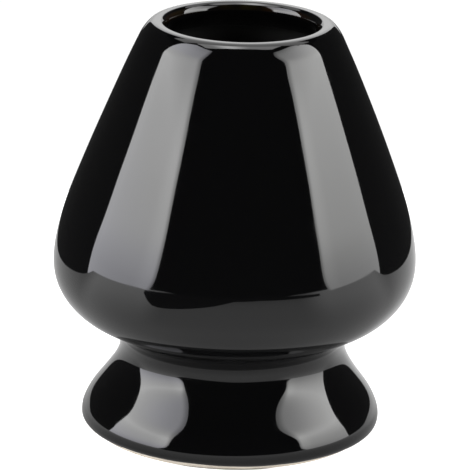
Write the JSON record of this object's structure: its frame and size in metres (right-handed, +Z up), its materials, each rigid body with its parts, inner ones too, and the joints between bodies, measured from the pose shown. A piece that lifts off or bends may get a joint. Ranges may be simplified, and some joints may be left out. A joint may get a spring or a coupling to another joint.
{
  "type": "tea whisk holder",
  "caption": "Hollow bell with a narrow open mouth on a flared foot; a tea whisk is slipped over it so that its tines dry in shape.",
  "frame": {"origin": "on the axis, in the plane of the table that the foot stands on", "axes": "+Z up along the axis of the bell; -Y faces the viewer of the picture and +X is to the right"},
  "size_m": [0.0608, 0.0608, 0.07],
  "materials": {
    "clay": "bare fired stoneware, matt and slightly gritty",
    "slip": "fired slip, matt",
    "glaze": "glossy black glaze"
  },
  "bodies": {
    "root": {"bell_body": "clay", "foot_pedestal": "clay", "luting_slip": "slip", "outer_glaze": "glaze", "liner_glaze": "glaze", "foot_well_glaze": "glaze"}
  },
  "joints": []
}
